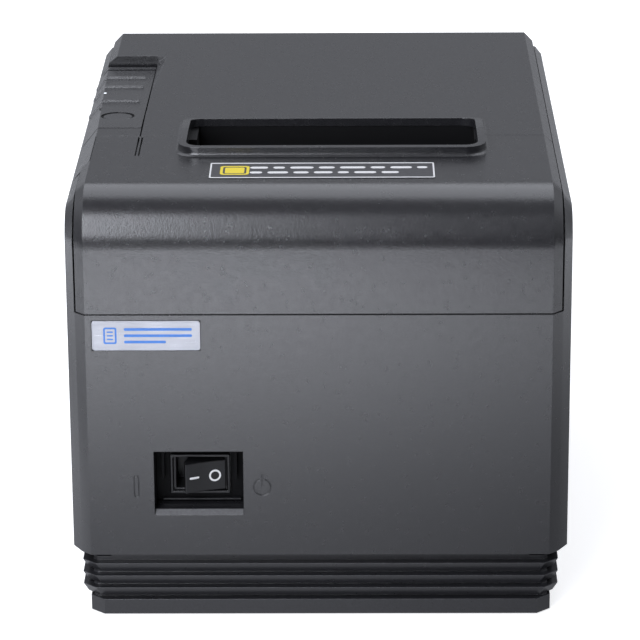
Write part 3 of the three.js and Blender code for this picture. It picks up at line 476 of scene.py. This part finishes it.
def switch_well():
    """A sleeve with a back wall round the switch and two guide ribs, all near-black as painted shade for the
    recess, and a ledge under the switch.
    """
    low, high = corners_mm("switch_body")
    x0, x1, z0, z1 = WELL["x0"] + 0.02, WELL["x1"] - 0.02, WELL["z0"] + 0.05, WELL["z1"] - 0.02
    left, right, top = x0 + SLEEVE, x1 - SLEEVE, z1 - SLEEVE
    back, deep = WELL["back"], WELL["back"] + 0.05
    well = Relief(FRONT_VIEW)
    well.ring(rounded(left, right, z0, top, 0.2),
              rounded(low[0] - 0.1, high[0] + 0.1, low[2] - 0.1, high[2] + 0.1, 0.2), deep, back + 0.55)
    for side in ([(x0, z0), (left, z0), (left, z1), (x0, z1)],
                 [(right, z0), (x1, z0), (x1, z1), (right, z1)],
                 [(left, top), (right, top), (right, z1), (left, z1)]):
        well.solid(side, deep, WELL["front"])
    for x in (x0 + GUIDE["in"], x1 - GUIDE["in"] - GUIDE["wide"]):
        well.solid(rounded(x, x + GUIDE["wide"], z0 + GUIDE["up"], top, 0.3, 3), back + 0.5, back + 3.2)
    well.piece("switch_well", SHADE_BLACK, "housing", "switch_plastic", 0.06)
    ledge = Relief(FRONT_VIEW)
    ledge.solid(rounded(x0 + 2.2, x1 - 0.9, z0 + 0.55, z0 + 1.05, 0.15, 3), back + 0.5, back + 1.9)
    ledge.piece("switch_ledge", MATERIALS["switch_plastic"], "housing", "switch_plastic", 0.05)


def switch_sill():
    """The sloping lip below the switch, left rough by the mould."""
    slope = math.radians(45)
    foot = Matrix.Translation((0, -WELL["proud"] * MM, WELL["foot"] * MM))
    length = WELL["sill"] / math.sin(slope)
    lip = Relief(foot @ Matrix.Rotation(-slope, 4, "X") @ FRONT_VIEW)
    lip.solid(rounded(WELL["x0"] + 0.1, WELL["x1"] - 0.1, 0.12, length - 0.05, 0.1, 2), -0.05, 0.06)
    lip.piece("switch_sill", ROUGH_CASING, "housing", "casing", 0.03)


ROCKER_TURN = math.radians(20)   # the rocker's right end is pressed in at rest
RING_AT = {"x": 2.94, "out": 4.7, "lean": math.radians(-4.65)}
DASH_AT = {"x": -3.34, "out": 4.694, "lean": math.radians(6.1)}


def rocker_marks():
    """A dash and a ring on the rocker's two leaves."""
    joint = next(j for j in frame["joints"] if j["name"] == "rocker_tilt")
    rocker = Matrix.Translation(joint["pos_m"]) @ Matrix.Rotation(ROCKER_TURN, 4, "Z") @ FRONT_VIEW

    def leaf(place):
        shift = Matrix.Translation((place["x"], 0, place["out"]))
        return Relief(rocker @ shift @ Matrix.Rotation(place["lean"], 4, "Y"))

    ring, dash = leaf(RING_AT), leaf(DASH_AT)
    ring.ring(rounded(-1.8, 1.8, -1.8, 1.8, 1.79, 7), rounded(-1.25, 1.25, -1.25, 1.25, 1.24, 7), -0.2, INK)
    dash.solid(bar(-1.5, 1.5, 0, 0.62), -0.08, INK)
    ring.piece("rocker_ring", WHITE_INK, BODY_OF["power_rocker"], "switch_plastic")
    dash.piece("rocker_dash", WHITE_INK, BODY_OF["power_rocker"], "switch_plastic")


ENGRAVED = 0.22                  # depth of the engraved signs
SIGN_LINE = 0.3


def engraved_signs():
    """A bar and an on-off ring cut a little into the front wall, either side of the switch."""
    low, high = WELL["proud"] - ENGRAVED, WELL["proud"] + 1
    left, right = WELL["x0"] - 5.1, WELL["x1"] + 5.5
    tool = Relief(FRONT_VIEW)
    bar_z, ring_z = WELL["z0"] + 7.3, WELL["z0"] + 7.0
    tool.ring(square(left, bar_z, 0.8, 3.3, 0.5), square(left, bar_z, 0.8 - SIGN_LINE, 3.3 - SIGN_LINE, 0.35),
              low, high)
    tool.solid(arc(right, ring_z, 2.65, 108, 432, 36) + arc(right, ring_z, 2.3, 432, 108, 36), low, high)
    tool.solid(rounded(right - 0.2, right + 0.2, ring_z + 0.2, ring_z + 4, 0.12, 2), low, high)
    data = bpy.data.meshes.new("engraving_tool")
    bmesh.ops.recalc_face_normals(tool.mesh, faces=tool.mesh.faces)
    tool.mesh.to_mesh(data)
    tool.mesh.free()
    cutter = bpy.data.objects.new("engraving_tool", data)
    bpy.context.scene.collection.objects.link(cutter)
    cutter.hide_render = True
    cutter.hide_viewport = True
    shell = frame["nodes"]["housing_shell"]
    groove = shell.modifiers.new("engraving", "BOOLEAN")
    groove.operation = "DIFFERENCE"
    groove.solver = "EXACT"
    groove.object = cutter
    shell.modifiers.move(len(shell.modifiers) - 1, 1)


PANEL_FALL = math.atan2(3.2, 85)   # the control strip falls 3.2 mm over its length of 85 mm
BUTTON_GAP = (0.06, 0.64)          # inner and outer edge of the gap's floor, from the button's side
LAMPS = {"status_led_paper": LED_OFF, "status_led_error": LED_LIT, "status_led_power": LED_OFF}


def panel_detail():
    """A floor of painted shade in the gap round the feed button, and the lamps' lenses: only the middle one is
    lit.
    """
    low, high = corners_mm("feed_button")
    r = (high[0] - low[0]) / 2
    top = high[2] - r * math.tan(PANEL_FALL)
    middle = Matrix.Translation(((low[0] + r) * MM, (low[1] + r) * MM, top * MM))
    gap = Relief(middle @ Matrix.Rotation(-PANEL_FALL, 4, "X") @ TOP_VIEW)
    inner, outer = (arc(0, 0, r + edge, 0, 360, 40)[:-1] for edge in BUTTON_GAP)
    gap.ring(outer, inner, -1.0, -0.05)
    # The gap's floor is near-black painted shade.
    gap.piece("button_gap", SHADE_BLACK, BODY_OF["control_panel"], "casing")
    for node, material in LAMPS.items():
        frame["nodes"][node].data.materials[0] = material


cover_print()
plate_print()
switch_well()
switch_sill()
rocker_marks()
engraved_signs()
panel_detail()


# ---------- studio ----------
LIGHT_TINT = (0.9, 0.925, 1.0)


def soft_box(name, place, target, size, radiance):
    """A flat soft light whose face shines evenly with the radiance given (floor white is about 1)."""
    lamp = bpy.data.lights.new(name, "AREA")
    lamp.shape = "RECTANGLE"
    lamp.size, lamp.size_y = size
    lamp.energy = radiance * math.pi * size[0] * size[1]
    holder = bpy.data.objects.new(name, lamp)
    bpy.context.scene.collection.objects.link(holder)
    holder.location = place
    holder.rotation_euler = (Vector(target) - Vector(place)).to_track_quat("-Z", "Y").to_euler()
    lamp.color = LIGHT_TINT
    holder.visible_camera = False
    return holder


class Graph:
    """The same small writer for a world or a floor: value maths over named sockets."""

    def __init__(self, tree):
        self.tree = tree
        self.tree.nodes.clear()

    def add(self, kind, **settings):
        node = self.tree.nodes.new(kind)
        for key, value in settings.items():
            setattr(node, key, value)
        return node

    def feed(self, value, socket):
        if isinstance(value, (int, float)):
            socket.default_value = value
        else:
            self.tree.links.new(value, socket)

    def maths(self, operation, a, b=0.0):
        node = self.add("ShaderNodeMath", operation=operation)
        self.feed(a, node.inputs[0])
        self.feed(b, node.inputs[1])
        return node.outputs[0]

    def ramp(self, value, low, high, to_low, to_high):
        node = self.add("ShaderNodeMapRange", interpolation_type="SMOOTHSTEP")
        for key, number in (("Value", value), ("From Min", low), ("From Max", high), ("To Min", to_low),
                            ("To Max", to_high)):
            self.feed(number, node.inputs[key])
        return node.outputs["Result"]


def white_to_camera(graph, unseen, camera_side, output):
    """What the camera sees directly is one shader; what lights and mirrors in the object is another."""
    path = graph.add("ShaderNodeLightPath")
    mix = graph.add("ShaderNodeMixShader")
    graph.feed(path.outputs["Is Camera Ray"], mix.inputs["Fac"])
    graph.feed(unseen, mix.inputs[1])
    graph.feed(camera_side, mix.inputs[2])
    graph.feed(mix.outputs["Shader"], output)


# Smooth ramps: where it starts and ends, and the values there.
AHEAD = (-0.5, 0.3, 1.0, 0.0)            # along Y: from the sky in front to the sky behind
SKY_FRONT = (0.3, 0.85, 0.0, 0.22)       # upwards
SKY_BACK = (0.0, 0.4, 0.42, 0.31)        # upwards
SKY_ASIDE = (0.35, 0.85, 0.0, 0.55)      # sideways
SKY_ASIDE_RISE = (0.1, 0.5, 0.0, 1.0)    # upwards


def studio_world():
    """A dim sky in front, a brighter one behind and at both sides; the camera itself sees white."""
    world = bpy.data.worlds.new("studio")
    bpy.context.scene.world = world
    world.use_nodes = True
    g = Graph(world.node_tree)
    out = g.add("ShaderNodeOutputWorld")
    where = g.add("ShaderNodeTexCoord")
    axes = g.add("ShaderNodeSeparateXYZ")
    g.feed(where.outputs["Generated"], axes.inputs[0])
    x, y, z = (axes.outputs[axis] for axis in "XYZ")
    ahead = g.ramp(y, *AHEAD)
    front = g.maths("MULTIPLY", ahead, g.ramp(z, *SKY_FRONT))
    back = g.maths("MULTIPLY", g.maths("SUBTRACT", 1.0, ahead), g.ramp(z, *SKY_BACK))
    aside = g.maths("MULTIPLY", g.ramp(g.maths("ABSOLUTE", x), *SKY_ASIDE), g.ramp(z, *SKY_ASIDE_RISE))
    fill = g.add("ShaderNodeBackground")
    fill.inputs["Color"].default_value = (*LIGHT_TINT, 1)
    g.feed(g.maths("ADD", g.maths("ADD", front, back), aside), fill.inputs["Strength"])
    seen = g.add("ShaderNodeBackground")
    seen.inputs["Color"].default_value = (1, 1, 1, 1)
    white_to_camera(g, fill.outputs[0], seen.outputs[0], out.inputs["Surface"])


# The glow of the floor as the object mirrors it, by distance from the footprint and across it.
NEAR_GLOW, GLOW_RISE, GLOW_MOST = 0.6, 5.8, 6.0
RISE_REACH, RISE_POWER = 0.4, 2.3
FLOOR_END = (0.37, 0.45, 1.0, 0.05)      # away from the footprint
FLOOR_ACROSS = (-0.06, 0.15, 1.12, 0.46)
FLOOR_LEFT = (-0.26, -0.16, 0.4, 1.0)
FLOOR_RIGHT = (0.14, 0.22, 1.0, 0.7)
FLOOR_BEHIND = (0.05, 0.3, 0.0, 0.55)
PALE_FLOOR = 0.62                        # what the camera sees on top of the lit floor


def studio_floor():
    """A plain pale floor for the camera, and a glow that grows away from the object for its mirror image."""
    bpy.ops.mesh.primitive_plane_add(size=8, location=(0, 0, 0))
    floor = bpy.context.object
    floor.name = "floor"
    paint = bpy.data.materials.new("floor")
    paint.use_nodes = True
    g = Graph(paint.node_tree)
    out = g.add("ShaderNodeOutputMaterial")
    where = g.add("ShaderNodeTexCoord")
    axes = g.add("ShaderNodeSeparateXYZ")
    g.feed(where.outputs["Object"], axes.inputs[0])
    x, y = axes.outputs["X"], axes.outputs["Y"]
    past_x = g.maths("MAXIMUM", g.maths("SUBTRACT", g.maths("ABSOLUTE", x), cad_high.x), 0.0)
    past_y = g.maths("MAXIMUM", g.maths("SUBTRACT", g.maths("ABSOLUTE", y), cad_high.y), 0.0)
    away = g.maths("SQRT", g.maths("ADD", g.maths("POWER", past_x, 2.0), g.maths("POWER", past_y, 2.0)))
    rise = g.maths("POWER", g.maths("DIVIDE", away, RISE_REACH), RISE_POWER)
    near = g.maths("MINIMUM", g.maths("ADD", NEAR_GLOW, g.maths("MULTIPLY", GLOW_RISE, rise)), GLOW_MOST)
    sides = g.maths("MULTIPLY", g.ramp(x, *FLOOR_LEFT), g.ramp(x, *FLOOR_RIGHT))
    spread = g.maths("MULTIPLY", sides, g.ramp(x, *FLOOR_ACROSS))
    ahead = g.maths("MULTIPLY", spread, g.maths("MULTIPLY", near, g.ramp(away, *FLOOR_END)))
    glow = g.add("ShaderNodeEmission")
    glow.inputs["Color"].default_value = (*LIGHT_TINT, 1)
    g.feed(g.maths("MAXIMUM", ahead, g.ramp(y, *FLOOR_BEHIND)), glow.inputs["Strength"])
    lit = g.add("ShaderNodeBsdfDiffuse")
    lit.inputs["Color"].default_value = (0.9, 0.9, 0.9, 1)
    pale = g.add("ShaderNodeEmission")
    pale.inputs["Strength"].default_value = PALE_FLOOR
    seen = g.add("ShaderNodeAddShader")
    g.feed(lit.outputs[0], seen.inputs[0])
    g.feed(pale.outputs[0], seen.inputs[1])
    white_to_camera(g, glow.outputs[0], seen.outputs[0], out.inputs["Surface"])
    floor.data.materials.append(paint)


TOP_EDGE = Vector((0, -0.09, 0.118))     # the rounded front edge that both lights are aimed at
# Name, degrees up from the front, distance, shift to the right, size and radiance.
SOFT_BOXES = (
    ("front_box", 32.6, 1.05, -0.54, (0.84, 1.0), 5.9),
    ("top_box", 122, 1.2, 0.0, (1.7, 1.12), 1.55),
)


def lights():
    """A tall box low on the front left, and a wide one above and behind the top edge."""
    for name, angle, reach, x, size, radiance in SOFT_BOXES:
        turn = math.radians(angle)
        target = TOP_EDGE + Vector((x, 0, 0))
        place = target + Vector((0, -math.cos(turn), math.sin(turn))) * reach
        soft_box(name, place, target, size, radiance)


SENSOR = 36
LENS = 192.1                             # millimetres
EYE = (0.010876, -1.01567, 0.40943)
PITCH, YAW, ROLL = 0.3316, 0.0114, -0.0061   # radians: 19 degrees down, and nearly square to the front


def camera():
    """Slightly above and a hair to the right, with a long lens, as the object was seen."""
    lens = bpy.data.cameras.new("camera")
    lens.sensor_width = SENSOR
    lens.lens = LENS
    lens.clip_start = 0.05
    lens.clip_end = 20
    holder = bpy.data.objects.new("camera", lens)
    bpy.context.scene.collection.objects.link(holder)
    turn = Matrix.Rotation(YAW, 4, "Z") @ Matrix.Rotation(math.pi / 2 - PITCH, 4, "X")
    holder.matrix_world = Matrix.Translation(EYE) @ turn @ Matrix.Rotation(ROLL, 4, "Z")
    bpy.context.scene.camera = holder


studio_world()
studio_floor()
lights()
camera()
bpy.context.scene.view_settings.view_transform = "Standard"
